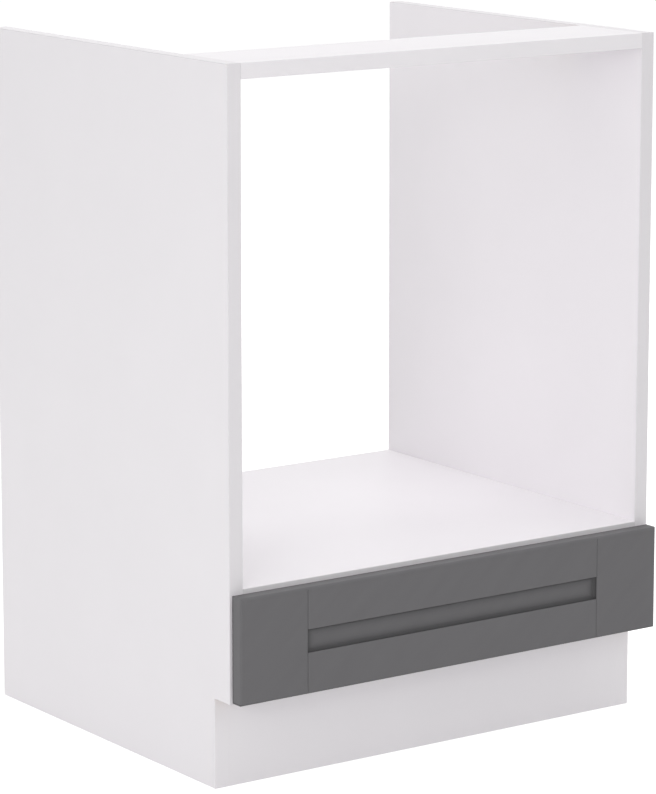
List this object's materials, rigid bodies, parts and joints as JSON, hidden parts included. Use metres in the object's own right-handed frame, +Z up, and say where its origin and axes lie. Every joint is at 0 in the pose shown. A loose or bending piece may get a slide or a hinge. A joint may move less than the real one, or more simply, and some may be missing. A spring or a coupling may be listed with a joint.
{
  "type": "oven housing base unit",
  "caption": "White under-counter housing for a built-in oven: open niche with a shelf, set-back plinth and a shallow drawer with a grey frame-look front.",
  "frame": {"origin": "on the floor, at the middle of the unit's width and depth", "axes": "+X to the right seen from the front, +Y from front to back, +Z up"},
  "size_m": [0.6, 0.523, 0.82],
  "materials": {
    "white_board": "satin",
    "white_edging": "satin",
    "grey_front": "matte",
    "hardboard": "matte",
    "beech": "matte",
    "zinc_plated_steel": "satin",
    "cast_zinc": "satin",
    "runner_enamel": "satin",
    "nylon": "satin",
    "soft_plastic": "satin"
  },
  "bodies": {
    "carcass": {"side_panel_left": "white_board", "side_panel_right": "white_board", "bottom_panel": "white_board", "oven_shelf": "white_board", "top_rail": "white_board", "plinth_board": "white_board", "back_board": "hardboard", "front_edge_bands": "white_edging", "top_edge_bands": "white_edging", "shelf_edge_band": "white_edging", "rail_edge_band": "white_edging", "bottom_edge_band": "white_edging", "cam_bolts": "zinc_plated_steel", "cam_locks": "cast_zinc", "dowels": "beech", "back_nails": "zinc_plated_steel", "cabinet_runner_left": "runner_enamel", "cabinet_runner_right": "runner_enamel", "cabinet_runner_screws": "zinc_plated_steel", "front_roller_axles": "zinc_plated_steel"},
    "drawer": {"drawer_front": "grey_front", "drawer_inner_front": "white_board", "drawer_side_left": "white_board", "drawer_side_right": "white_board", "drawer_back": "white_board", "drawer_bottom": "hardboard", "drawer_bottom_nails": "zinc_plated_steel", "drawer_box_screws": "zinc_plated_steel", "front_fixing_screws": "zinc_plated_steel", "front_bumpers": "soft_plastic", "drawer_runner_left": "runner_enamel", "drawer_runner_right": "runner_enamel", "drawer_runner_screws": "zinc_plated_steel", "rear_roller_axles": "zinc_plated_steel"},
    "front_roller_left": {"front_roller_left": "nylon"},
    "front_roller_right": {"front_roller_right": "nylon"},
    "rear_roller_left": {"rear_roller_left": "nylon"},
    "rear_roller_right": {"rear_roller_right": "nylon"}
  },
  "joints": [
    {"name": "drawer_slide", "type": "slide", "parent": "carcass", "child": "drawer", "axis": [0, -1, 0], "range_m": [0, 0.34]},
    {"name": "front_roller_left_spin", "type": "hinge", "parent": "carcass", "child": "front_roller_left", "pos_m": [-0.27715, -0.2255, 0.1414], "axis": [1, 0, 0], "continuous": true},
    {"name": "front_roller_right_spin", "type": "hinge", "parent": "carcass", "child": "front_roller_right", "pos_m": [0.27715, -0.2255, 0.1414], "axis": [1, 0, 0], "continuous": true},
    {"name": "rear_roller_left_spin", "type": "hinge", "parent": "drawer", "child": "rear_roller_left", "pos_m": [-0.27435, 0.1925, 0.1395], "axis": [1, 0, 0], "continuous": true},
    {"name": "rear_roller_right_spin", "type": "hinge", "parent": "drawer", "child": "rear_roller_right", "pos_m": [0.27435, 0.1925, 0.1395], "axis": [1, 0, 0], "continuous": true}
  ],
  "couplings": [
    {"joint": "front_roller_left_spin", "follows": "drawer_slide", "rad_per_m": 111.11},
    {"joint": "front_roller_right_spin", "follows": "drawer_slide", "rad_per_m": 111.11},
    {"joint": "rear_roller_left_spin", "follows": "drawer_slide", "rad_per_m": 111.11},
    {"joint": "rear_roller_right_spin", "follows": "drawer_slide", "rad_per_m": 111.11}
  ]
}
